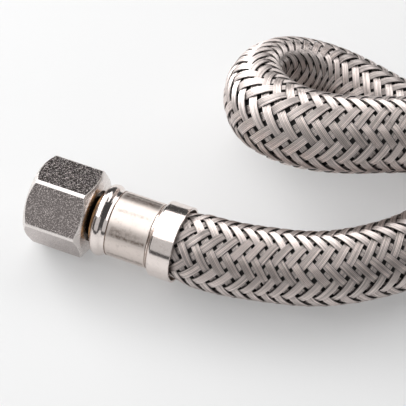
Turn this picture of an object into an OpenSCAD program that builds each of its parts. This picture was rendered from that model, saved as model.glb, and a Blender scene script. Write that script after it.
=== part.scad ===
// Braided supply line: a rubber tube in a steel wire braid, with a swivelling hex nut at each end.
// Millimetres. X runs along the inlet fitting, from the mouth of its nut into the hose. Z is up.
// The origin is the centre of the inlet nut's mouth, and the hose lies on a level surface.

/* [Hose] */
// Outside diameter of the braid
hose_d = 14.8; // [14.4:0.1:15.2]
// Thickness of the braid's two crossing layers of wire
braid_t = 0.8; // [0.6:0.05:0.9]
// Bore of the rubber tube
tube_bore = 8.8; // [8.6:0.1:9.4]

/* [Nut] */
// Width across the flats of the hex
nut_af = 15.9; // [15.7:0.1:17.4]
// Length of the nut
nut_len = 12.4; // [12:0.1:13.5]
// Diameter inside the thread's crests
thread_d = 13.2; // [12.9:0.05:13.3]
// Length of the plain threaded wall, after the mouth's bevel
thread_len = 4.7; // [3.7:0.1:5.1]
// Turn of the hex about its own axis as it lies
nut_turn = 17; // [0:1:30]
// End play of the nut along the stem
nut_play = 1.2; // [0.6:0.1:1.2]

/* [Stem] */
// Diameter of the neck that the nut turns on
neck_d = 10; // [9.4:0.1:10.4]
// Bore for the water
stem_bore = 6; // [5:0.1:6.6]
// Thickness of the head inside the nut
head_t = 1.4; // [1.1:0.1:1.5]

/* [Ferrule] */
// Diameter of the rounded bead next to the nut
bead_d = 14.6; // [14.2:0.1:15.2]
// Diameter of the pressed waist
waist_d = 13.2; // [12.8:0.1:13.6]
// Diameter of the ring at the hose end
ring_d = 15.4; // [15.1:0.1:16]
// Length of the bead
bead_len = 2.8; // [2.4:0.1:3.4]
// Length of the waist
waist_len = 8.8; // [7:0.1:12]
// Length of the ring
ring_len = 5.2; // [4:0.1:7]
// Thickness of the sleeve's wall
wall = 0.5; // [0.4:0.05:0.55]

/* [Hidden] */
$fn = 72;

plated = [0.80, 0.79, 0.77];
steel = [0.82, 0.80, 0.78];
brass = [0.72, 0.50, 0.30];
rubber = [0.10, 0.10, 0.10];

// Clearance between pieces that stay together, and between pieces that move
near = 0.1;
loose = 0.2;

// Nut, measured along the axis from its mouth
nut_r = nut_af / 2 / cos(30);
mouth_bevel = 0.6;
thread_r = thread_d / 2;
relief_r = thread_r + 0.5;
relief_x = mouth_bevel + thread_len;
back_wall = 2.2;
shoulder_x = nut_len - back_wall;
hole_r = neck_d / 2 + loose;
front_cut = 1.4;
rear_cut = 0.95;

// Stem: its head rests against the nut's shoulder when the nut is fully forward
head_back = shoulder_x - near;
head_x = head_back - head_t;
head_r = thread_r - loose;
neck_r = neck_d / 2;

// Washer: the nut carries it, so the end play lies between it and the head
washer_back = head_x - nut_play - near;
washer_x = relief_x + near;
washer_r = relief_r - loose;
washer_hole = 4.2;
washer_cone = min(1, (washer_back - washer_x) / 2);

// Ferrule
ferrule_x = nut_len + nut_play + loose;
lip_r = neck_r + loose;
collar_x = ferrule_x + wall + near;
collar_t = 1.3;
bead_end = ferrule_x + bead_len;
waist_x = bead_end + 0.5;
step_x = waist_x + waist_len;
ring_x = step_x + 0.5;
fit_len = ring_x + ring_len - 0.5;
waist_in = waist_d / 2 - wall;
ring_in = ring_d / 2 - wall;
// The bead's pocket, which the stem's collar sits in
pocket_r = bead_d / 2 - 0.8;
collar_r = pocket_r - loose - near;

// Hose layers inside the fitting and outside it
hose_r = hose_d / 2;
hose_x = collar_x + collar_t + loose;
grip_r = waist_in - near;
sleeve_r = min(ring_in - loose, hose_r);
bore_r = tube_bore / 2;
sides = 12;
tail_r = bore_r * cos(180 / sides) - near;
tail_end = fit_len - 1.5;

// The surface that the line lies on, under the nut's lowest corner, and the hose's axis as it lies there
low_turn = nut_turn % 60;
floor_z = -nut_r * cos(min(low_turn, 60 - low_turn));
lie_z = floor_z + hose_r;

// Route of the hose from the inlet ferrule's end: along X, along Y, height above lying, and how firmly
// the point is held at the fittings' own height
route = [
    [-23, 0, 0, 1], [-15, 0, 0, 1], [-7, 0, 0, 1], [1, 0, 0, 1], [8.5, 0.5, 0, 0.6], [16.5, 3, 0, 0],
    [24.75, 5, 0, 0], [31.75, 9, 0, 0], [38.25, 14.25, 0, 0], [43.75, 20.5, 0, 0], [47, 28, 0, 0],
    [46.75, 36.25, 0, 0], [42.75, 42, 0, 0], [36.25, 46.25, 0, 0], [28, 48.25, 0, 0], [19.5, 50, 0, 0],
    [10.75, 51.25, 0, 0], [3.75, 48, 2.75, 0], [0.5, 41.75, 6.5, 0], [1.5, 33.75, 10.25, 0],
    [7, 27, 14, 0], [15.5, 25.25, 15.5, 0], [23.75, 27.25, 15.75, 0], [31.25, 31, 15.5, 0],
    [38.5, 34, 15.5, 0], [45.25, 36.75, 15.25, 0], [52.25, 39.5, 15, 0], [59.5, 42.25, 13.25, 0],
    [66.25, 44.75, 10.75, 0], [73.5, 46.5, 7.75, 0], [81, 48, 4.5, 0], [89, 49.5, 2, 0],
    [97.5, 50, 0, 1], [105.5, 50, 0, 1], [113.5, 50, 0, 1], [121.5, 50, 0, 1]
];
last = len(route) - 1;
control = [for (p = route) [fit_len + p[0], p[1], (1 - p[3]) * (lie_z + p[2])]];
out_end = control[last - 2];
out_mouth = [out_end[0] + fit_len, out_end[1], 0];

// A smooth curve through the route, two steps to each stretch
function blend(a, b, c, d, t) = (pow(1 - t, 3) * a + (3 * pow(t, 3) - 6 * t * t + 4) * b
    + (-3 * pow(t, 3) + 3 * t * t + 3 * t + 1) * c + pow(t, 3) * d) / 6;
free_run = [for (i = [3 : last - 3]) for (t = [0, 0.5])
    blend(control[i - 1], control[i], control[i + 1], control[i + 2], t)];

// Rings of the swept hose: inside the inlet ferrule, along the free run, inside the outlet ferrule
end_steps = [fit_len - hose_x, fit_len - step_x - wall - near, fit_len - ring_x - wall - loose, 0.3];
end_rise = [0, 0, 1, 1];
centres = concat([for (s = end_steps) [fit_len - s, 0, 0]], free_run, [out_end - [1, 0, 0]],
    [for (k = [3 : -1 : 0]) [out_end[0] + end_steps[k], out_end[1], 0]]);
rings = len(centres);
function stage(k) = k < 4 ? end_rise[k] : k >= rings - 4 ? end_rise[rings - 1 - k] : 2;
function radius(k, grip, sleeve, open) = [grip, sleeve, open][stage(k)];

function unit(v) = v / norm(v);
function along(k) = k == 0 || k == rings - 1 ? [1, 0, 0] : unit(centres[k + 1] - centres[k - 1]);
function flat(v, t) = unit(v - (v * t) * t);
function carried(k, list) = k == rings ? list
    : carried(k + 1, concat(list, [flat(list[k - 1], along(k))]));
ups = carried(1, [[0, 0, 1]]);
function ring(k, r) = [for (j = [0 : sides - 1]) let (a = 360 * (j + 0.5) / sides)
    centres[k] + r * (cos(a) * cross(ups[k], along(k)) + sin(a) * ups[k])];

// Faces of a tube whose outer rings are listed first and its inner rings after them
function wall_faces(start, turned) = [for (k = [0 : rings - 2]) for (j = [0 : sides - 1])
    for (h = [0, 1]) let (a = start + k * sides + j, b = start + k * sides + (j + 1) % sides,
        f = h == 0 ? [a, b, b + sides] : [a, b + sides, a + sides])
    turned ? [f[2], f[1], f[0]] : f];
function cap_faces(k, turned) = [for (j = [0 : sides - 1]) for (h = [0, 1])
    let (a = k * sides + j, b = k * sides + (j + 1) % sides, c = a + rings * sides, d = b + rings * sides,
        f = h == 0 ? [a, c, d] : [a, d, b])
    turned ? [f[2], f[1], f[0]] : f];

// The hose's least gap to itself, between rings that aren't neighbours along it
apart = [for (i = [0 : rings - 1]) for (j = [i + 9 : 1 : rings - 1]) norm(centres[i] - centres[j])];
run = [for (k = [1 : rings - 1]) norm(centres[k] - centres[k - 1])];
function total(v, k = 0) = k == len(v) ? 0 : v[k] + total(v, k + 1);
echo(hose_gap = min(apart) - hose_d, lowest = lie_z - hose_r - floor_z);
echo(hose_length = total(run), line_length = total(run) + 2 * hose_x);
echo(fit_len = fit_len, out_mouth = out_mouth, floor_z = floor_z, lie_z = lie_z);
echo(thread_x = mouth_bevel + thread_len / 2, thread_r = thread_r, nut_play = nut_play);

// Turns a profile of [distance along the axis, radius] points about the X axis
module turned(points) {
    rotate([0, 90, 0])
        rotate_extrude()
            polygon([for (p = points) [p[1], p[0]]]);
}

module outlet() {
    translate(out_mouth)
        rotate([0, 0, 180])
            children();
}

module nut() {
    big = nut_r + 0.4;
    front = nut_af / 2 - 0.45;
    rear = nut_af / 2 - 0.55;
    difference() {
        intersection() {
            rotate([0, 90, 0])
                rotate([0, 0, nut_turn])
                    cylinder(r = nut_r, h = nut_len, $fn = 6);
            turned([[0, 0], [0, front], [front_cut * (big - front) / (nut_r - front), big],
                [nut_len - rear_cut * (big - rear) / (nut_r - rear), big], [nut_len, rear], [nut_len, 0]]);
        }
        turned([[-1, 0], [-1, thread_r + mouth_bevel], [0, thread_r + mouth_bevel], [mouth_bevel, thread_r],
            [relief_x, thread_r], [relief_x, relief_r], [shoulder_x, relief_r], [shoulder_x, hole_r],
            [nut_len + 1, hole_r], [nut_len + 1, 0]]);
    }
}

module washer() {
    turned([[washer_x, washer_hole], [washer_x, washer_r - washer_cone], [washer_x + washer_cone, washer_r],
        [washer_back, washer_r], [washer_back, washer_hole]]);
}

module stem() {
    barb = tail_r - 0.4;
    tail_x = collar_x + collar_t;
    pitch = (tail_end - tail_x - 2) / 4;
    turned(concat(
        [[head_x, stem_bore / 2], [head_x, head_r - 0.3], [head_x + 0.3, head_r], [head_back, head_r],
            [head_back, neck_r], [collar_x, neck_r], [collar_x, collar_r], [tail_x, collar_r],
            [tail_x, barb], [tail_x + 2, barb]],
        [for (k = [0 : 3]) for (h = [0, 1])
            h == 0 ? [tail_x + 2 + k * pitch, tail_r] : [tail_x + 2 + (k + 1) * pitch, barb]],
        [[tail_end, stem_bore / 2]]));
}

module ferrule() {
    bead = bead_d / 2;
    waist = waist_d / 2;
    outer = ring_d / 2;
    turned([[ferrule_x, lip_r], [ferrule_x, bead - 1], [ferrule_x + 0.3, bead - 0.4], [ferrule_x + 0.8, bead],
        [bead_end - 0.7, bead], [bead_end - 0.2, bead - 0.3], [waist_x, waist], [step_x, waist],
        [ring_x, outer - 0.1], [ring_x + 0.3, outer], [fit_len, outer], [fit_len, ring_in],
        [ring_x + wall, ring_in], [step_x + wall, waist_in], [waist_x, waist_in],
        [bead_end - 0.6, pocket_r], [collar_x - near, pocket_r], [collar_x - near, lip_r]]);
}

module hose_layer(grip_out, sleeve_out, open_out, grip_in, sleeve_in, open_in) {
    polyhedron(
        points = concat(
            [for (k = [0 : rings - 1]) each ring(k, radius(k, grip_out, sleeve_out, open_out))],
            [for (k = [0 : rings - 1]) each ring(k, radius(k, grip_in, sleeve_in, open_in))]),
        faces = concat(wall_faces(0, true), wall_faces(rings * sides, false),
            cap_faces(0, true), cap_faces(rings - 1, false)));
}

module inlet_nut() {
    color(plated)
        nut();
}

module inlet_washer() {
    color(rubber)
        washer();
}

module inlet_stem() {
    color(brass)
        stem();
}

module inlet_ferrule() {
    color(steel)
        ferrule();
}

module outlet_nut() {
    color(plated)
        outlet()
            nut();
}

module outlet_washer() {
    color(rubber)
        outlet()
            washer();
}

module outlet_stem() {
    color(brass)
        outlet()
            stem();
}

module outlet_ferrule() {
    color(steel)
        outlet()
            ferrule();
}

module inner_tube() {
    under = braid_t + near;
    color(rubber)
        hose_layer(grip_r - under, sleeve_r - under, hose_r - under, bore_r, bore_r, bore_r);
}

module braid() {
    color(steel)
        hose_layer(grip_r, sleeve_r, hose_r, grip_r - braid_t, sleeve_r - braid_t, hose_r - braid_t);
}

inlet_nut();
inlet_washer();
inlet_stem();
inlet_ferrule();
outlet_nut();
outlet_washer();
outlet_stem();
outlet_ferrule();
inner_tube();
braid();
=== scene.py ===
import math
from contextlib import contextmanager

import bmesh
import bpy
import numpy as np
from mathutils import Matrix, Vector


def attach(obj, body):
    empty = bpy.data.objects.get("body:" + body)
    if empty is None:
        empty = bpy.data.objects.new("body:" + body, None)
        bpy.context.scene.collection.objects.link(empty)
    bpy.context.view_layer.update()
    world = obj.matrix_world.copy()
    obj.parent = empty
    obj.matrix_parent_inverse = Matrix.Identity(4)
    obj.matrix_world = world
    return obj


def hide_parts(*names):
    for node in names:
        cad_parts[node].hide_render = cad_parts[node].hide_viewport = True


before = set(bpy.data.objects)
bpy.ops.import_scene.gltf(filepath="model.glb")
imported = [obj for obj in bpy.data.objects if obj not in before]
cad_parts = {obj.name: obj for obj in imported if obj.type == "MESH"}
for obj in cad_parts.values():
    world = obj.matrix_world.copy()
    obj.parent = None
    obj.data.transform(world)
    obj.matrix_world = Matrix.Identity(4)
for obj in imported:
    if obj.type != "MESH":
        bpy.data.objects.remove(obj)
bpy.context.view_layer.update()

# Braided supply line: a rubber tube in a woven steel sleeve, with a ferrule, a stem, a washer and a
# swivelling hex nut at each end. Lengths below are in millimetres, and MM turns them into metres.
MM = 0.001

# The inlet fitting lies along X, from the mouth of its nut. The outlet is a copy, turned round.
NUT_LENGTH = 12.4
NUT_FLATS = 15.9
NUT_CORNER = NUT_FLATS / 2 / math.cos(math.radians(30))
NUT_TURN = math.radians(17)
THREAD_PITCH = 1.058
FITTING_LENGTH = 31.1
OUTLET_MOUTH = (167.7, 50.0)

# Press seams round the ferrule's waist, and how far the front one is turned from straight up
SEAMS = 8
SEAM_STEP = 360 / SEAMS
FRONT_SEAM = 57
SEAM_START, SEAM_END = 17.7, 25.1

HOSE_START = 15.9
HOSE_RADIUS = 7.4
TUBE_RADIUS = 6.42
TUBE_BORE = 4.4
FLOOR = -8.779
LYING = FLOOR + HOSE_RADIUS

# Weave of the sleeve: ribbons each way, wires in a ribbon, and the length of one turn of a ribbon
RIBBONS = 12
WIRES = 6
LEAD = 32.6
RIBBON_WIDTH = 1.57
RIBBON_RISE = 0.23
WIRE = 0.25
WIRE_GROOVE = 0.19
WEAVE_RADIUS = HOSE_RADIUS - RIBBON_RISE - WIRE / 2
WEAVE_SLANT = math.atan2(2 * math.pi * WEAVE_RADIUS, LEAD)
WEAVE_PHASE = math.radians(9.4)

# The hose's route from the inlet ferrule's end, as in the part's source: along X, along Y, height above
# lying, and how firmly the point is held at the fittings' own height
ROUTE = [
    (-23, 0, 0, 1), (-15, 0, 0, 1), (-7, 0, 0, 1), (1, 0, 0, 1), (8.5, 0.5, 0, 0.6), (16.5, 3, 0, 0),
    (24.75, 5, 0, 0), (31.75, 9, 0, 0), (38.25, 14.25, 0, 0), (43.75, 20.5, 0, 0), (47, 28, 0, 0),
    (46.75, 36.25, 0, 0), (42.75, 42, 0, 0), (36.25, 46.25, 0, 0), (28, 48.25, 0, 0), (19.5, 50, 0, 0),
    (10.75, 51.25, 0, 0), (3.75, 48, 2.75, 0), (0.5, 41.75, 6.5, 0), (1.5, 33.75, 10.25, 0),
    (7, 27, 14, 0), (15.5, 25.25, 15.5, 0), (23.75, 27.25, 15.75, 0), (31.25, 31, 15.5, 0),
    (38.5, 34, 15.5, 0), (45.25, 36.75, 15.25, 0), (52.25, 39.5, 15, 0), (59.5, 42.25, 13.25, 0),
    (66.25, 44.75, 10.75, 0), (73.5, 46.5, 7.75, 0), (81, 48, 4.5, 0), (89, 49.5, 2, 0),
    (97.5, 50, 0, 1), (105.5, 50, 0, 1), (113.5, 50, 0, 1), (121.5, 50, 0, 1), (129.5, 50, 0, 1),
    (137.5, 50, 0, 1),
]


def set_up_camera():
    lens = bpy.data.cameras.new("photo_camera")
    lens.sensor_width = 36
    lens.lens = 201.4
    lens.clip_start = 0.02
    lens.clip_end = 30
    camera = bpy.data.objects.new("photo_camera", lens)
    bpy.context.scene.collection.objects.link(camera)
    camera.location = (0.1381, -0.2435, 0.3538)
    camera.rotation_euler = (math.radians(38), 0, math.radians(22.9))
    bpy.context.scene.camera = camera


set_up_camera()


# ---------------------------------------------------------------------------------------------------
# Finishes

class Value:
    """A shader value. Sums and products on it add Math nodes."""

    def __init__(self, finish, socket):
        self.finish = finish
        self.socket = socket

    def math(self, operation, *given):
        return self.finish.node("ShaderNodeMath", {"operation": operation}, dict(enumerate(given)))

    def __add__(self, other):
        return self.math("ADD", self, other)

    def __radd__(self, other):
        return self.math("ADD", other, self)

    def __sub__(self, other):
        return self.math("SUBTRACT", self, other)

    def __rsub__(self, other):
        return self.math("SUBTRACT", other, self)

    def __mul__(self, other):
        return self.math("MULTIPLY", self, other)

    def __rmul__(self, other):
        return self.math("MULTIPLY", other, self)

    def __truediv__(self, other):
        return self.math("DIVIDE", self, other)

    def __rtruediv__(self, other):
        return self.math("DIVIDE", other, self)

    def __abs__(self):
        return self.math("ABSOLUTE", self)

    def fraction(self):
        return self.math("FRACT", self)

    def between(self, low, high):
        """0 below low, 1 above high, and smooth between them."""
        return self.finish.node(
            "ShaderNodeMapRange", {"interpolation_type": "SMOOTHSTEP"},
            {"Value": self, "From Min": low, "From Max": high})

    def chance(self):
        """A fixed number from 0 to 1 for each whole number."""
        return self.finish.node(
            "ShaderNodeTexWhiteNoise", {"noise_dimensions": "1D"}, {"W": self.math("FLOOR", self)})


class Finish:
    """A material with one Principled shader, whose sockets are set by name."""

    def __init__(self, name):
        self.material = bpy.data.materials.new(name)
        self.material.use_nodes = True
        self.tree = self.material.node_tree
        self.shader = next(n for n in self.tree.nodes if n.type == "BSDF_PRINCIPLED")

    def node(self, kind, settings=None, given=None, out=0):
        made = self.tree.nodes.new(kind)
        for key, value in (settings or {}).items():
            setattr(made, key, value)
        for key, value in (given or {}).items():
            self.feed(made.inputs[key], value)
        return Value(self, made.outputs[out])

    def feed(self, socket, value):
        if isinstance(value, Value):
            self.tree.links.new(value.socket, socket)
        else:
            socket.default_value = value

    def shade(self, **sockets):
        for name, value in sockets.items():
            self.feed(self.shader.inputs[name.replace("_", " ")], value)

    def noise(self, scale, detail, roughness):
        where = self.node("ShaderNodeTexCoord", out="Object")
        return self.node(
            "ShaderNodeTexNoise", None,
            {"Vector": where, "Scale": scale, "Detail": detail, "Roughness": roughness})

    def mark(self, name):
        """A number that the piece's own mesh carries."""
        return self.node("ShaderNodeAttribute", {"attribute_name": name}, out="Fac")

    def wire_count(self):
        """Across the ribbons, counted in wires: the V of the piece's own map."""
        ribbon = self.node("ShaderNodeUVMap", {"uv_map": "ribbon"})
        return self.node("ShaderNodeSeparateXYZ", None, {0: ribbon}, out=1)

    def blend(self, factor, first, second):
        """A mix of two colours, which are sockets 6 and 7 of the node."""
        return self.node(
            "ShaderNodeMix", {"data_type": "RGBA"}, {0: factor, 6: first, 7: second}, out=2)

    def bump(self, height, strength, distance):
        return self.node(
            "ShaderNodeBump", None,
            {"Strength": strength, "Distance": distance, "Height": height})


def blasted_nickel():
    """Flats of the nut: a dull plated surface with a blasted grain where the mark is 1; where it is
    low, the flat is plain and lighter, a painted sheen of the floor below.
    """
    look = Finish("nut_blasted_nickel")
    grain = look.noise(4600, 2.0, 0.6)
    patches = look.noise(900, 3.0, 0.6)
    cloud = look.noise(160, 2.0, 0.5)
    plain = 0.45
    # A low mark drops the blasted specks and lightens the colour: painted sheen on the flats that face
    # down.
    specks = plain + look.mark("blast_and_sheen") * (grain.between(0.50, 0.68) - plain)
    tone = 0.75 * specks + 0.15 * patches + 0.10 * cloud
    look.shade(
        Base_Color=look.blend(tone, (0.14, 0.122, 0.116, 1), (1.0, 0.90, 0.87, 1)),
        Metallic=1.0,
        Roughness=0.14 + 0.06 * patches + 0.24 * specks,
        Normal=look.bump(grain + 0.3 * patches, 0.1, 0.00014))
    return look.material


def turned_nickel():
    """Chamfers, mouth and bore of the nut: the same plating over fine turning marks."""
    look = Finish("nut_turned_nickel")
    patches = look.noise(700, 3.0, 0.6)
    fine = look.noise(4200, 2.0, 0.6)
    look.shade(
        Base_Color=look.blend(patches, (0.72, 0.67, 0.65, 1), (0.88, 0.83, 0.80, 1)),
        Metallic=1.0,
        Roughness=0.20 + 0.14 * patches,
        Normal=look.bump(fine, 0.18, 0.00004))
    return look.material


def ferrule_steel(name, dullness, light, dark):
    """Pressed ferrule: sheet steel with faint ripples and rubbed marks, smudged by the seam mark."""
    look = Finish(name)
    ripple = look.noise(230, 2.0, 0.4)
    marks = look.noise(1500, 4.0, 0.65)
    rubbed = marks.between(0.52, 0.72)
    smudge = look.mark("seam") * (0.35 + 0.65 * marks.between(0.36, 0.60))
    clean = look.blend(0.6 * rubbed + 0.4 * ripple, light, dark)
    look.shade(
        Base_Color=look.blend(smudge, clean, (0.22, 0.16, 0.125, 1)),
        Metallic=1.0,
        Roughness=dullness + 0.16 * rubbed,
        Normal=look.bump(ripple + 0.08 * marks, 0.22, 0.0004))
    return look.material


def braid_wire():
    """Ribbons of drawn steel wire, with painted shade in the grooves between the wires, along the
    ribbons' edges and where a ribbon dives under the others.
    """
    look = Finish("braid_steel_wire")
    wires = look.wire_count()
    ribbons = wires / WIRES
    # Painted shade: the grooves between the wires are darkened in the colour.
    groove = abs((wires.fraction() - 0.5) * 2.0).between(0.65, 1.0)
    # Painted shade: thin dark lines along both edges of every ribbon, standing for the shadow in the
    # gaps between ribbons.
    edge_shade = (abs(ribbons.fraction() - 0.5) * 2.0).between(0.82, 0.97)
    each_wire = wires.chance()
    wear = look.noise(420, 3.0, 0.6)
    tone = 0.15 * wear + 0.7 * each_wire * (2.0 - each_wire) + 0.15 * ribbons.chance()
    # Painted shade: a ribbon darkens where it dives under the crossing ones.
    sunk = look.mark("sunk").between(0.30, 0.75)
    bright = look.blend(tone, (0.48, 0.432, 0.412, 1), (1.0, 0.90, 0.858, 1))
    shaded = look.blend(0.15 * sunk, bright, (0.13, 0.115, 0.105, 1))
    look.shade(
        Base_Color=look.blend(groove * 0.55 + edge_shade, shaded, (0.05, 0.045, 0.042, 1)),
        Metallic=1.0,
        Roughness=0.38 + 0.14 * tone)
    return look.material


def tube_rubber():
    """Inner tube: matt dark rubber, dusty in places."""
    look = Finish("tube_dark_rubber")
    dust = look.noise(500, 4.0, 0.6)
    look.shade(
        Base_Color=look.blend(dust, (0.012, 0.011, 0.011, 1), (0.045, 0.041, 0.038, 1)),
        Roughness=0.55 + 0.3 * dust,
        Normal=look.bump(dust, 0.2, 0.0001))
    return look.material


def washer_rubber():
    """Sealing washer: smooth black rubber with a slight bloom."""
    look = Finish("washer_black_rubber")
    bloom = look.noise(700, 4.0, 0.6)
    look.shade(
        Base_Color=look.blend(bloom, (0.018, 0.018, 0.018, 1), (0.06, 0.058, 0.056, 1)),
        Roughness=0.42 + 0.25 * bloom,
        Normal=look.bump(bloom, 0.15, 0.00008))
    return look.material


def stem_brass(name, bright):
    """Turned brass, a little tarnished; dimmed nearly to black, it is painted shade in the neck behind
    the nut.
    """
    look = Finish(name)
    tarnish = look.noise(360, 4.0, 0.6)
    fine = look.noise(3600, 2.0, 0.6)
    clean = (0.80 * bright, 0.50 * bright, 0.26 * bright, 1)
    brown = (0.50 * bright, 0.27 * bright, 0.13 * bright, 1)
    look.shade(
        Base_Color=look.blend(tarnish, clean, brown),
        Metallic=1.0,
        Roughness=0.22 + 0.2 * tarnish,
        Normal=look.bump(fine, 0.12, 0.00004))
    return look.material


# ---------------------------------------------------------------------------------------------------
# Shop tools

def clear_bench():
    if bpy.context.mode != "OBJECT":
        bpy.ops.object.mode_set(mode="OBJECT")
    bpy.ops.object.select_all(action="DESELECT")


def work_on(piece):
    clear_bench()
    piece.select_set(True)
    bpy.context.view_layer.objects.active = piece


@contextmanager
def editing(piece):
    """Edit mode on one piece, while the with block runs."""
    work_on(piece)
    bpy.ops.object.mode_set(mode="EDIT")
    yield
    bpy.ops.object.mode_set(mode="OBJECT")


def apply(piece, kind, **settings):
    work_on(piece)
    modifier = piece.modifiers.new(kind.lower(), kind)
    for key, value in settings.items():
        setattr(modifier, key, value)
    bpy.ops.object.modifier_apply(modifier=modifier.name)


def round_edges(piece, width, segments, sharper_than):
    """Bevels the edges that turn by more than an angle in degrees."""
    apply(piece, "BEVEL", width=width * MM, segments=segments, limit_method="ANGLE",
          angle_limit=math.radians(sharper_than), use_clamp_overlap=True)


def smooth(piece, angle):
    work_on(piece)
    bpy.ops.object.shade_smooth_by_angle(angle=math.radians(angle))


def pick(piece, what, test):
    """In edit mode, selects just the verts or edges that pass the test."""
    bpy.ops.mesh.select_mode(type={"verts": "VERT", "edges": "EDGE"}[what])
    bpy.ops.mesh.select_all(action="DESELECT")
    shape = bmesh.from_edit_mesh(piece.data)
    for item in getattr(shape, what):
        if test(item):
            item.select_set(True)
    shape.select_flush_mode()
    bmesh.update_edit_mesh(piece.data)


def draw_outline(name, outline):
    """Draws a closed outline of (distance along X, radius) points, by pulling one point along it."""
    clear_bench()
    bpy.ops.mesh.primitive_plane_add(size=MM, location=(0, 0, 0))
    piece = bpy.context.object
    piece.name = piece.data.name = name
    ends = [Vector((x * MM, 0, r * MM)) for x, r in (outline[0], outline[-1])]
    with editing(piece):
        bpy.ops.mesh.select_mode(type="VERT")
        bpy.ops.mesh.select_all(action="SELECT")
        bpy.ops.mesh.merge(type="CENTER")
        bpy.ops.transform.translate(value=ends[0])
        for (x, r), (next_x, next_r) in zip(outline, outline[1:]):
            move = ((next_x - x) * MM, 0, (next_r - r) * MM)
            bpy.ops.mesh.extrude_vertices_move(TRANSFORM_OT_translate={"value": move})
        pick(piece, "verts", lambda v: min((v.co - end).length for end in ends) < 1e-7)
        bpy.ops.mesh.edge_face_add()
    return piece


def turn_on_lathe(name, outline, steps=96, rounding=0.0):
    """Spins a closed outline once round the X axis, and rounds its corners."""
    piece = draw_outline(name, outline)
    with editing(piece):
        bpy.ops.mesh.select_all(action="SELECT")
        bpy.ops.mesh.spin(steps=steps, angle=2 * math.pi, center=(0, 0, 0), axis=(1, 0, 0))
        bpy.ops.mesh.select_all(action="SELECT")
        bpy.ops.mesh.remove_doubles(threshold=1e-6)
        bpy.ops.mesh.normals_make_consistent(inside=False)
    if rounding:
        round_edges(piece, rounding, 3, 12)
    return piece


def cut(piece, cutter, operation):
    apply(piece, "BOOLEAN", object=cutter, operation=operation, solver="EXACT")
    bpy.data.objects.remove(cutter)


def mark(piece, name, domain, numbers):
    """Writes a number on each point or face, for the piece's finish to read."""
    piece.data.attributes.new(name, "FLOAT", domain).data.foreach_set("value", numbers)


def at_outlet(piece, name):
    """A copy with its own mesh, turned round to the other end of the line."""
    twin = piece.copy()
    twin.data = piece.data.copy()
    twin.name = twin.data.name = name
    bpy.context.scene.collection.objects.link(twin)
    there = Matrix.Translation((OUTLET_MOUTH[0] * MM, OUTLET_MOUTH[1] * MM, 0))
    twin.data.transform(there @ Matrix.Rotation(math.pi, 4, "Z"))
    return twin


def dress(piece, body, node, slot, *materials):
    for material in materials:
        piece.data.materials.append(material)
    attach(piece, body)
    if node:
        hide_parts(node)


# ---------------------------------------------------------------------------------------------------
# Hose: its axis, the rubber tube and the woven sleeve

def smooth_route():
    """A smooth curve past the route's points, between the hose's two hidden ends."""
    points = np.array([(FITTING_LENGTH + x, y, (1 - held) * (LYING + lift))
                       for x, y, lift, held in ROUTE])
    t = np.linspace(0, 1, 40, endpoint=False)[:, None]
    line = np.vstack([
        ((1 - t) ** 3 * a + (3 * t ** 3 - 6 * t ** 2 + 4) * b
         + (-3 * t ** 3 + 3 * t ** 2 + 3 * t + 1) * c + t ** 3 * d) / 6
        for a, b, c, d in zip(points, points[1:], points[2:], points[3:])])
    first = int(np.argmax(line[:, 0] >= HOSE_START))
    past_end = int(np.argmax(line[::-1, 0] <= OUTLET_MOUTH[0] - HOSE_START))
    return line[first:len(line) - past_end]


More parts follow.
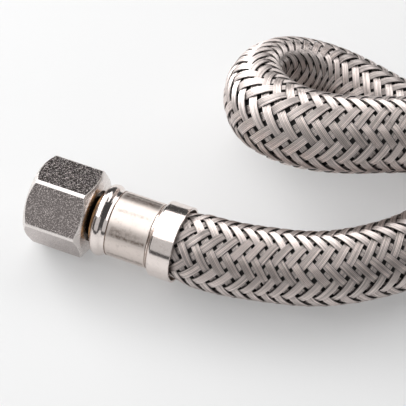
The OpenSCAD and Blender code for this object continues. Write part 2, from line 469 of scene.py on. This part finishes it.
class Axis:
    """The hose's centre line, measured along its length in millimetres."""

    def __init__(self, step=0.2):
        line = smooth_route()
        run = np.concatenate([[0], np.cumsum(np.linalg.norm(np.diff(line, axis=0), axis=1))])
        self.length = float(run[-1])
        self.at = np.linspace(0, self.length, int(self.length / step) + 1)
        self.centre = np.stack([np.interp(self.at, run, line[:, k]) for k in range(3)], axis=1)
        way = np.gradient(self.centre, self.at, axis=0)
        self.way = way / np.linalg.norm(way, axis=1)[:, None]
        self.bend = np.gradient(self.way, self.at, axis=0)
        self.up = np.zeros_like(self.way)
        carried = np.array([0.0, 0.0, 1.0])
        for k, forward in enumerate(self.way):
            carried = carried - forward * (carried @ forward)
            carried = carried / np.linalg.norm(carried)
            self.up[k] = carried
        self.side = np.cross(self.up, self.way)
        self.squeeze_tight_turn()

    def squeeze_tight_turn(self):
        """Round the leftmost point of the loop, the hose is hollow on its inner side and broad."""
        window = np.ones(45) / 45
        bend = self.bend + 1e-6 * self.side
        inward = np.stack([np.convolve(bend[:, k], window, "same") for k in range(3)], axis=1)
        self.inward = inward / np.linalg.norm(inward, axis=1)[:, None]
        in_loop = (self.at > 90) & (self.at < 190)
        leftmost = int(np.argmin(np.where(in_loop, self.centre[:, 0], 1e3)))
        past = self.at - self.at[leftmost]
        self.hollow = 0.55 * np.exp(-(past / np.where(past < 0, 7, 11)) ** 2)
        nearby = np.interp(past, [-42, -20, 25, 48], [0, 1, 1, 0])
        self.broad = 0.16 * np.exp(-(past / 15) ** 2) + 0.07 * nearby

    def read(self, table, s):
        return np.stack([np.interp(s, self.at, table[:, k]) for k in range(3)], axis=-1)

    def outward(self, s, turn):
        """Directions straight out from the axis, at a distance along it and an angle round it."""
        up, side = self.read(self.up, s), self.read(self.side, s)
        return np.sin(turn)[..., None] * up + np.cos(turn)[..., None] * side

    def stretch(self, s, turn, radius):
        """How much longer than the centre line the hose's skin runs there: over 1 outside a bend."""
        return 1 - radius * np.sum(self.read(self.bend, s) * self.outward(s, turn), axis=-1)

    def skin(self, s, turn, radius):
        """Points on the hose at a distance along it, an angle round it and a radius."""
        out = self.outward(s, turn)
        inward = self.read(self.inward, s)
        depth = np.sum(out * inward, axis=-1)
        sideways = out - depth[..., None] * inward
        broad = 1 + np.interp(s, self.at, self.broad)
        depth = depth * (1 - np.interp(s, self.at, self.hollow) * np.clip(depth, 0, 1))
        out = broad[..., None] * sideways + depth[..., None] * inward
        points = self.read(self.centre, s) + radius[..., None] * out
        points[..., 2] = np.maximum(points[..., 2], FLOOR + 0.02)
        return points


axis = Axis()


def drawn_in(s):
    """How far the hose is pressed in, from its free radius, by the ferrule at either end."""
    waist_end, ring_start, ring_end = (x - HOSE_START for x in (26.5, 27.2, FITTING_LENGTH))
    from_end = np.minimum(s, axis.length - s)
    return np.interp(from_end, [0, waist_end, ring_start, ring_end - 0.4, ring_end + 3.5],
                     [1.4, 1.4, 0.78, 0.78, 0.0])


def wall_faces(rows, around, start=0):
    """Faces over rows of points from a first point on, where each row is a closed loop."""
    faces = []
    for k in range(rows - 1):
        for j in range(around):
            p = start + k * around + j
            q = start + k * around + (j + 1) % around
            faces.append((p, q, q + around, p + around))
    return faces


def mesh_piece(name, points, faces):
    mesh = bpy.data.meshes.new(name)
    mesh.from_pydata([tuple(p) for p in points * MM], [], faces)
    mesh.update()
    mesh.polygons.foreach_set("use_smooth", np.ones(len(mesh.polygons), dtype=bool))
    piece = bpy.data.objects.new(name, mesh)
    bpy.context.scene.collection.objects.link(piece)
    return piece


def rubber_tube(sides=40, step=1.0, thinnest=0.4):
    along = np.linspace(0, axis.length, int(axis.length / step) + 1)
    turn = np.linspace(0, 2 * math.pi, sides, endpoint=False)
    s, a = np.meshgrid(along, turn, indexing="ij")
    outside = np.maximum(TUBE_RADIUS - drawn_in(s), TUBE_BORE + thinnest)
    points = np.vstack([axis.skin(s, a, outside).reshape(-1, 3),
                        axis.skin(s, a, np.full_like(s, TUBE_BORE)).reshape(-1, 3)])
    rows = len(along)
    inner = rows * sides
    faces = wall_faces(rows, sides)
    faces += [face[:1] + face[:0:-1] for face in wall_faces(rows, sides, inner)]
    for row, far_end in ((0, False), (rows - 1, True)):
        for j in range(sides):
            p, q = row * sides + j, row * sides + (j + 1) % sides
            face = (p, inner + p, inner + q, q)
            faces.append(face[::-1] if far_end else face)
    return mesh_piece("rubber_inner_tube", points, faces)


def ribbon_section():
    """Places across a ribbon, from -1 to 1, and their heights. The last two are its underside."""
    across = np.linspace(-1, 1, 2 * WIRES + 1)
    on_crest = np.arange(2 * WIRES + 1) % 2 == 1
    top = np.where(on_crest, WIRE / 2, WIRE / 2 - WIRE_GROOVE)
    return (np.concatenate([across, [1.0, -1.0]]),
            np.concatenate([top, [-WIRE / 2, -WIRE / 2]]))


def lay_ribbon(ribbon, way, s, across, height):
    """Points of one ribbon, over two and under two of the others, and how far each is sunk."""
    wander = 0.018 * np.sin(s / 19 + 2.4 * ribbon + way)
    even_turn = 2 * math.pi * (ribbon / RIBBONS + way * s / LEAD)
    turn = even_turn + WEAVE_PHASE + wander
    wave = np.cos((even_turn * RIBBONS / math.pi - 0.5) * math.pi / 2)
    rise = way * RIBBON_RISE * np.tanh(1.7 * wave) / math.tanh(1.7)
    # Outside a bend the ribbon widens along the hose, a little less than the skin stretches
    longer = np.maximum(axis.stretch(s, turn, WEAVE_RADIUS), 1.0) ** 0.15
    off = across * RIBBON_WIDTH / 2
    place = np.clip(s - off * math.sin(WEAVE_SLANT) / longer, 0, axis.length)
    angle = turn + way * off * math.cos(WEAVE_SLANT) / WEAVE_RADIUS
    radius = WEAVE_RADIUS - drawn_in(place) + rise + height
    sunk = np.clip(0.5 - 0.5 * rise / RIBBON_RISE, 0, 1)
    return axis.skin(place, angle, radius).reshape(-1, 3), sunk.reshape(-1)


def woven_ribbons(name, way, which, samples_per_turn=54):
    """Ribbons that wind one way round the hose: way is 1 or -1."""
    rows = int(axis.length / LEAD * samples_per_turn) + 1
    section, heights = ribbon_section()
    around = len(section)
    s, across = np.meshgrid(np.linspace(0, axis.length, rows), section, indexing="ij")
    height = np.broadcast_to(heights, s.shape)
    points, faces, places, sunk = [], [], [], []
    for count, ribbon in enumerate(which):
        these_points, these_sunk = lay_ribbon(ribbon, way, s, across, height)
        points.append(these_points)
        sunk.append(these_sunk)
        wire = (across + 1) / 2 * WIRES + ribbon * WIRES
        places.append(np.stack([s, wire], axis=-1).reshape(-1, 2))
        start = count * rows * around
        first_end = tuple(range(start, start + around))
        last_end = tuple(range(start + (rows - 1) * around, start + rows * around))
        these_faces = wall_faces(rows, around, start) + [first_end[::-1], last_end]
        faces += these_faces if way > 0 else [face[::-1] for face in these_faces]
    piece = mesh_piece(name, np.vstack(points), faces)
    mark(piece, "sunk", "POINT", np.concatenate(sunk))
    map_ribbons(piece.data, np.vstack(places))
    sharpen_grooves(piece.data, around)
    return piece


def map_ribbons(mesh, places):
    """The piece's own map: U along a ribbon in millimetres, V across the ribbons in wires."""
    corners = np.zeros(len(mesh.loops), dtype=np.int32)
    mesh.loops.foreach_get("vertex_index", corners)
    layer = mesh.uv_layers.new(name="ribbon")
    layer.data.foreach_set("uv", places[corners].astype(np.float32).ravel())


def sharpen_grooves(mesh, around):
    """Makes the edges sharp that run along the grooves between wires and along the underside."""
    ends = np.zeros(2 * len(mesh.edges), dtype=np.int32)
    mesh.edges.foreach_get("vertices", ends)
    column, other = (ends.reshape(-1, 2) % around).T
    groove = (column == other) & ((column % 2 == 0) | (column > 2 * WIRES))
    mesh.edges.foreach_set("use_edge_sharp", groove)


def make_hose():
    """The tube, and the sleeve as two pieces each way."""
    tube = rubber_tube()
    dress(tube, "hose", "inner_tube", "tube_rubber", tube_rubber())
    wire = braid_wire()
    half = RIBBONS // 2
    sleeve = []
    for way, word in ((1, "right"), (-1, "left")):
        for part, which in (("a", range(half)), ("b", range(half, RIBBONS))):
            piece = woven_ribbons(f"braid_{word}_ribbons_{part}", way, which)
            dress(piece, "hose", "braid", "braid_steel", wire)
            sleeve.append(piece)
    return tube, sleeve


tube, sleeve = make_hose()


# ---------------------------------------------------------------------------------------------------
# Fitting

def corner_cutter():
    """A turned blank that slants off the hex's corners at both ends of the nut."""
    over = NUT_CORNER + 0.4
    mouth, rear = NUT_FLATS / 2 - 0.45, NUT_FLATS / 2 - 0.55
    mouth_slant = 1.4 * (over - mouth) / (NUT_CORNER - mouth)
    rear_slant = 0.95 * (over - rear) / (NUT_CORNER - rear)
    return turn_on_lathe("corner_cutter", [
        (0, 0.02), (0, mouth), (mouth_slant, over), (NUT_LENGTH - rear_slant, over),
        (NUT_LENGTH, rear), (NUT_LENGTH, 0.02)], steps=120)


def bore_cutter():
    """The nut's inside: the mouth, the thread's root, the washer's relief and the stem's hole."""
    mouth, root, relief, hole = 7.25, 7.12, 7.1, 5.2
    before, beyond = -1, NUT_LENGTH + 1
    return turn_on_lathe("bore_cutter", [
        (before, 0.01), (before, mouth), (0, mouth), (0.6, root), (5.3, root), (5.3, relief),
        (10.2, relief), (10.2, hole), (beyond, hole), (beyond, 0.01)])


def finish_flats(nut):
    """Finish 0 goes on the six flats and 1 on the rest. The flats that face down are nearly smooth and
    lighter in colour: painted light from the floor below them.
    """
    for face in nut.data.polygons:
        outside = math.hypot(face.center.y, face.center.z) > 7.6 * MM
        on_flat = outside and abs(face.normal.x) < 0.02 and face.area > 20 * MM * MM
        face.material_index = 0 if on_flat else 1
    # Painted sheen: the flats that face down get a low mark, so they come out lighter.
    blast_and_sheen = [0.12 if face.normal.z < -0.2 else 1.0 for face in nut.data.polygons]
    mark(nut, "blast_and_sheen", "FACE", blast_and_sheen)


def make_nut():
    clear_bench()
    bpy.ops.mesh.primitive_cylinder_add(
        vertices=6, radius=NUT_CORNER * MM, depth=NUT_LENGTH * MM)
    nut = bpy.context.object
    nut.name = nut.data.name = "hex_nut"
    corner = nut.data.vertices[0].co
    turn = NUT_TURN - math.atan2(corner.y, corner.x)
    nut.matrix_world = (
        Matrix.Translation((NUT_LENGTH / 2 * MM, 0, 0))
        @ Matrix.Rotation(math.pi / 2, 4, "Y") @ Matrix.Rotation(turn, 4, "Z"))
    bpy.ops.object.transform_apply(location=True, rotation=True, scale=True)
    with editing(nut):
        pick(nut, "edges", lambda e: abs(e.verts[0].co.x - e.verts[1].co.x) > MM)
        bpy.ops.mesh.bevel(offset=0.38 * MM, segments=1, affect="EDGES")
    cut(nut, corner_cutter(), "INTERSECT")
    cut(nut, bore_cutter(), "DIFFERENCE")
    with editing(nut):
        bpy.ops.mesh.select_all(action="SELECT")
        bpy.ops.mesh.remove_doubles(threshold=0.05 * MM)
        bpy.ops.mesh.dissolve_degenerate(threshold=0.05 * MM)
    round_edges(nut, 0.1, 2, 22)
    smooth(nut, 25)
    apply(nut, "WEIGHTED_NORMAL", keep_sharp=True)
    finish_flats(nut)
    return nut


def make_nut_thread():
    """The ridge of the thread inside the nut."""
    root, crest, turns, steps = 7.2, 6.62, 3.6, 260
    ridge = draw_outline("nut_thread", [(0.45, root), (0.9, crest), (1.05, crest), (1.45, root)])
    apply(ridge, "SCREW", axis="X", angle=2 * math.pi * turns,
          screw_offset=THREAD_PITCH * turns * MM, steps=steps, render_steps=steps,
          use_merge_vertices=False)
    with editing(ridge):
        pick(ridge, "edges", lambda e: e.is_boundary)
        bpy.ops.mesh.fill()
        bpy.ops.mesh.select_all(action="SELECT")
        bpy.ops.mesh.normals_make_consistent(inside=False)
    smooth(ridge, 35)
    return ridge


def make_washer():
    bore, face, rim = 4.2, 5.9, 6.9
    washer = turn_on_lathe("sealing_washer", [
        (5.4, bore), (5.4, face), (6.4, rim), (7.4, rim), (7.4, bore)], rounding=0.18)
    smooth(washer, 40)
    return washer


def make_stem():
    """Brass stem: a head in the nut, a neck in painted shade, a collar, a flange and a barbed tail in
    the hose.
    """
    bore, head, shank, neck, collar, flange, tail, barb = 3.0, 6.4, 5.0, 3.9, 5.05, 6.2, 3.75, 4.15
    neck_start, flange_end, first_barb, end, barbs = 11.7, 15.7, 17.7, 29.6, 4
    outline = [
        (8.7, bore), (8.7, head - 0.3), (9.0, head), (10.1, head), (10.1, shank),
        (neck_start, shank), (11.8, neck), (12.92, neck), (13.02, collar), (14.4, collar),
        (14.4, flange), (flange_end, flange), (flange_end, tail - 0.01), (first_barb, tail + 0.01)]
    pitch = (end - first_barb) / barbs
    for k in range(barbs):
        start = first_barb + k * pitch
        outline += [(start, barb), (start + pitch - 0.02, tail)]
    stem = turn_on_lathe("brass_stem", outline + [(end, bore)], rounding=0.08)
    smooth(stem, 30)
    # Painted shade: the neck's outer faces behind the nut take the nearly black brass.
    for face in stem.data.polygons:
        outside = math.hypot(face.center.y, face.center.z) > 3.4 * MM
        in_neck = neck_start * MM < face.center.x < 12.95 * MM and outside
        face.material_index = 1 if in_neck else 0
    return stem


def from_seams(place):
    """Degrees round the ferrule from its front seam, and from the nearest seam."""
    turned = math.degrees(math.atan2(-place.y, place.z)) - FRONT_SEAM
    return turned, abs((turned + SEAM_STEP / 2) % SEAM_STEP - SEAM_STEP / 2)


def along_seams(place):
    return SEAM_START * MM < place.x < SEAM_END * MM


def press_seams(ferrule):
    """Each seam is a narrow groove with a slight swelling on both sides."""
    def between(place, low, high):
        outside = math.hypot(place.y, place.z) > 6.4 * MM
        return along_seams(place) and outside and low <= from_seams(place)[1] < high

    with editing(ferrule):
        for low, high, grow in ((0, 1.3, 0.982), (1.3, 3.9, 1.005)):
            pick(ferrule, "verts", lambda v: between(v.co, low, high))
            bpy.ops.transform.resize(value=(1, grow, grow), center_override=(0, 0, 0))


def smudge_seams(ferrule):
    """Smudges on the seams, and two broad ones: behind the top, and above the front seam."""
    heavy = (1.0, 0.55, 0.9, 0.4, 0.95, 0.5, 0.85, 0.45)
    middle = 21
    smudges = np.zeros(len(ferrule.data.vertices), dtype=np.float32)
    for k, vert in enumerate(ferrule.data.vertices):
        if along_seams(vert.co):
            turned, off = from_seams(vert.co)
            on_seam = heavy[round(turned / SEAM_STEP) % SEAMS] * (1 - off / 5.5)
            behind_top = 0.95 * (1 - abs(turned + 80) / 12)
            near_nut = 0.85 if vert.co.x < middle * MM else 0.25
            above_front = near_nut * (1 - abs(turned + 8) / 9)
            smudges[k] = max(on_seam, behind_top, above_front, 0.0)
    mark(ferrule, "seam", "POINT", smudges)


def make_ferrule():
    """Pressed sleeve: a rounded bead by the nut, a waist with press seams, and a ring over the hose."""
    hole, waist, ring = 5.2, 6.6, 7.7
    bead = [
        (13.8, hole), (13.8, 6.2), (13.88, 6.6), (14.1, 6.95), (14.4, 7.17), (14.8, 7.28),
        (15.15, 7.3), (15.5, 7.24), (15.8, 7.08), (16.05, 6.85), (16.2, 6.72), (16.4, 6.66),
        (16.95, 6.62), (17.05, 6.5)]
    pressed = [(x, waist) for x in (17.2, 17.5, 17.9, 25.0, 25.25, 25.45)]
    swell = [(25.6, 6.52), (25.8, 6.62), (26.1, 6.95), (26.3, 7.4), (26.5, 7.62)]
    end_ring = [(26.8, ring), (31.0, ring), (FITTING_LENGTH, 7.6), (FITTING_LENGTH, 7.25)]
    inside = [
        (27.0, 7.2), (26.5, 6.15), (17.1, 6.1), (16.0, 6.4), (14.3, 6.4), (14.3, hole)]
    ferrule = turn_on_lathe("pressed_ferrule", bead + pressed + swell + end_ring + inside,
                            steps=144, rounding=0.05)
    press_seams(ferrule)
    smooth(ferrule, 40)
    smudge_seams(ferrule)
    polished, satin, crease_shade = range(3)
    # Painted shade: the two creases, by the bead and by the swell before the ring, take a dark brown
    # steel.
    creases = (16.97, 17.14), (25.5, 25.7)
    for face in ferrule.data.polygons:
        x = face.center.x / MM
        if any(low < x < high for low, high in creases):
            face.material_index = crease_shade
        else:
            face.material_index = satin if 17 < x < 25.6 else polished
    return ferrule


def make_fittings():
    """Both fittings, each piece with its copy. Returns the outlet's pieces."""
    nickel, bright = blasted_nickel(), turned_nickel()
    polished = ferrule_steel(
        "ferrule_polished_steel", 0.13, (0.88, 0.80, 0.76, 1), (0.74, 0.67, 0.63, 1))
    satin = ferrule_steel(
        "ferrule_satin_steel", 0.36, (0.80, 0.715, 0.665, 1), (0.66, 0.59, 0.545, 1))
    # Dark brown steel: painted shade for the ferrule's creases.
    crease_shade = ferrule_steel(
        "ferrule_crease_shade_steel", 0.42, (0.26, 0.17, 0.12, 1), (0.12, 0.08, 0.06, 1))
    # The nearly black copy of the brass is painted shade for the stem's neck.
    brass, neck_shade_brass = stem_brass("stem_turned_brass", 1.0), stem_brass("stem_brass_neck_shade", 0.06)
    rubber = washer_rubber()
    plan = [
        (make_nut(), "swivel", "nut", "plated_nut", (nickel, bright)),
        (make_nut_thread(), "swivel", None, "plated_nut", (bright,)),
        (make_washer(), "seal", "washer", "washer_rubber", (rubber,)),
        (make_stem(), None, "stem", "stem_brass", (brass, neck_shade_brass)),
        (make_ferrule(), None, "ferrule", "ferrule_steel", (polished, satin, crease_shade)),
    ]
    far_pieces = []
    for piece, body, node, slot, materials in plan:
        word = piece.name
        twin = at_outlet(piece, f"outlet_{word}")
        piece.name = piece.data.name = f"inlet_{word}"
        for one, end in ((piece, "inlet"), (twin, "outlet")):
            rides = f"{end}_{body}" if body else "hose"
            stands_for = f"{end}_{node}" if node else None
            dress(one, rides, stands_for, slot, *materials)
        far_pieces.append(twin)
    return far_pieces


far_fitting = make_fittings()

sleeve[1:] + [tube] + far_fitting


# ---------------------------------------------------------------------------------------------------
# Floor and light

def make_floor():
    clear_bench()
    bpy.ops.mesh.primitive_plane_add(size=6, location=(0.08, 0.03, FLOOR * MM))
    floor = bpy.context.object
    floor.name = "floor"
    bpy.ops.object.transform_apply(location=True, rotation=True, scale=True)
    look = Finish("floor_white_card")
    haze = look.noise(3.0, 2.0, 0.5)
    rays = ("Is Camera Ray", "Is Glossy Ray", "Is Transmission Ray")
    seen = sum(look.node("ShaderNodeLightPath", out=ray) for ray in rays)
    look.shade(
        Base_Color=look.blend(haze, (0.55, 0.55, 0.55, 1), (0.58, 0.58, 0.58, 1)),
        Roughness=0.6,
        Specular_IOR_Level=0.1,
        Emission_Color=look.blend(0.27 * seen, (0, 0, 0, 1), (1, 1, 1, 1)),
        Emission_Strength=1.0)
    floor.data.materials.append(look.material)


def soft_box(name, place, aim, width, height, power):
    light = bpy.data.lights.new(name, "AREA")
    light.shape = "RECTANGLE"
    light.size, light.size_y, light.energy = width, height, power
    lamp = bpy.data.objects.new(name, light)
    bpy.context.scene.collection.objects.link(lamp)
    lamp.location = place
    lamp.rotation_euler = (Vector(aim) - Vector(place)).to_track_quat("-Z", "Y").to_euler()


def make_light():
    world = bpy.context.scene.world or bpy.data.worlds.new("room")
    bpy.context.scene.world = world
    world.use_nodes = True
    room = next(n for n in world.node_tree.nodes if n.type == "BACKGROUND")
    room.inputs["Color"].default_value = (0.065, 0.065, 0.067, 1)
    room.inputs["Strength"].default_value = 1.0
    middle = (0.08, 0.02, 0)
    soft_box("top_soft_box", (-0.49, 0.16, 0.5), (-0.49, 0.16, 0), 1.02, 1.04, 5.9)
    soft_box("left_soft_box", (-0.9, 0.35, 0.45), middle, 0.7, 0.6, 8.5)
    soft_box("back_soft_box", (0.36, 0.78, 0.78), middle, 1.0, 0.5, 2.8)
    soft_box("front_card", (0.0, -0.885, 0.595), middle, 1.5, 0.9, 2.2)


make_floor()
make_light()
bpy.context.scene.view_settings.view_transform = "Standard"
